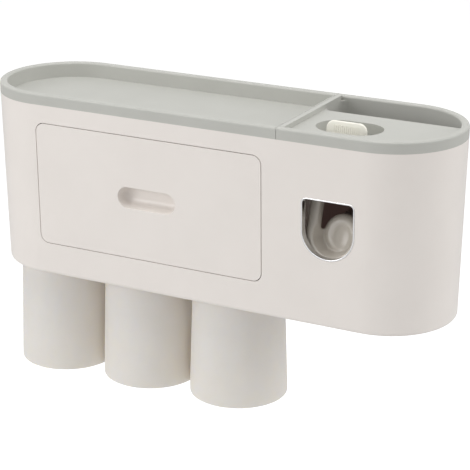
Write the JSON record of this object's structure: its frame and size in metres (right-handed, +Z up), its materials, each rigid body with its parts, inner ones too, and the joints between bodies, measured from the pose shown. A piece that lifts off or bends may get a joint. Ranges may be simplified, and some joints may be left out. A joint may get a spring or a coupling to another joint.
{
  "type": "toothpaste dispenser",
  "caption": "Wall-mounted toothpaste dispenser: long round-ended housing with a drawer, top tray, push-lever pump behind a window, and magnet-held tumblers hung below.",
  "frame": {"origin": "centre of the wall face on the back, at half the height of the housing with its rim", "axes": "+X to the right along the length, +Y into the wall, +Z up; the front faces -Y"},
  "size_m": [0.36, 0.1035, 0.2214],
  "materials": {
    "shell_white": "smooth satin moulded ABS, warm white",
    "bin_white": "fine matte moulded ABS",
    "rim_grey": "matte moulded ABS, grey with a little green",
    "liner_dark": "dark moulded plastic inside the housing",
    "trim_chrome": "bright plated plastic",
    "grip_cream": "matte cream-white plastic",
    "lever_white": "satin warm white plastic",
    "cup_frosted": "frosted, slightly translucent polystyrene",
    "pump_clear": "natural polypropylene",
    "soft_rubber": "soft silicone",
    "screw_steel": "plated steel",
    "magnet_steel": "nickel-plated magnet"
  },
  "bodies": {
    "housing": {"housing": "shell_white", "back_panel": "shell_white", "panel_screws": "screw_steel", "window_trim": "trim_chrome", "drawer_rail_left": "liner_dark", "drawer_rail_right": "liner_dark", "rail_screws": "screw_steel", "seat_magnets": "magnet_steel", "magnet_caps": "shell_white", "pump_base": "liner_dark", "base_screws": "screw_steel", "tube_socket": "soft_rubber", "inlet_pipe": "liner_dark"},
    "drawer": {"drawer_front": "shell_white", "drawer_bin": "bin_white", "drawer_screws": "screw_steel"},
    "tray": {"tray": "rim_grey"},
    "cover": {"dispenser_cover": "rim_grey", "well_floor": "rim_grey"},
    "pump_unit": {"grip_tab": "grip_cream", "pump_frame": "liner_dark", "pump_cylinder": "pump_clear", "inlet_valve": "soft_rubber", "outlet_valve": "soft_rubber", "outlet_duct": "pump_clear", "nozzle": "soft_rubber", "lever_pin": "screw_steel", "lever_spring": "screw_steel"},
    "lever": {"push_lever": "lever_white"},
    "plunger": {"pump_plunger": "pump_clear", "plunger_seal": "soft_rubber"},
    "tumbler_left": {"cup_left": "cup_frosted", "cup_magnet_left": "magnet_steel", "cup_cap_left": "cup_frosted"},
    "tumbler_middle": {"cup_middle": "cup_frosted", "cup_magnet_middle": "magnet_steel", "cup_cap_middle": "cup_frosted"},
    "tumbler_right": {"cup_right": "cup_frosted", "cup_magnet_right": "magnet_steel", "cup_cap_right": "cup_frosted"}
  },
  "joints": [
    {"name": "drawer_slide", "type": "slide", "parent": "housing", "child": "drawer", "axis": [0, -1, 0], "range_m": [0, 0.06]},
    {"name": "tray_lift", "type": "slide", "parent": "housing", "child": "tray", "axis": [0, 0, 1], "range_m": [0, 0.03]},
    {"name": "cover_lift", "type": "slide", "parent": "housing", "child": "cover", "axis": [0, 0, 1], "range_m": [0, 0.04]},
    {"name": "pump_lift", "type": "slide", "parent": "housing", "child": "pump_unit", "axis": [0, 0, 1], "range_m": [0, 0.009]},
    {"name": "lever_hinge", "type": "hinge", "parent": "pump_unit", "child": "lever", "pos_m": [0.1047, -0.074, 0.038], "axis": [1, 0, 0], "range_deg": [0, 12], "stiffness_Nm_per_rad": 0.25, "springref_deg": -14.32},
    {"name": "plunger_slide", "type": "slide", "parent": "pump_unit", "child": "plunger", "axis": [0, 1, 0], "range_m": [0, 0.0091]},
    {"name": "tumbler_left_pull", "type": "slide", "parent": "housing", "child": "tumbler_left", "axis": [0, 0, -1], "range_m": [0, 0.09]},
    {"name": "tumbler_middle_pull", "type": "slide", "parent": "housing", "child": "tumbler_middle", "axis": [0, 0, -1], "range_m": [0, 0.09]},
    {"name": "tumbler_right_pull", "type": "slide", "parent": "housing", "child": "tumbler_right", "axis": [0, 0, -1], "range_m": [0, 0.09]}
  ],
  "couplings": [
    {"joint": "plunger_slide", "follows": "lever_hinge", "m_per_rad": 0.043}
  ]
}
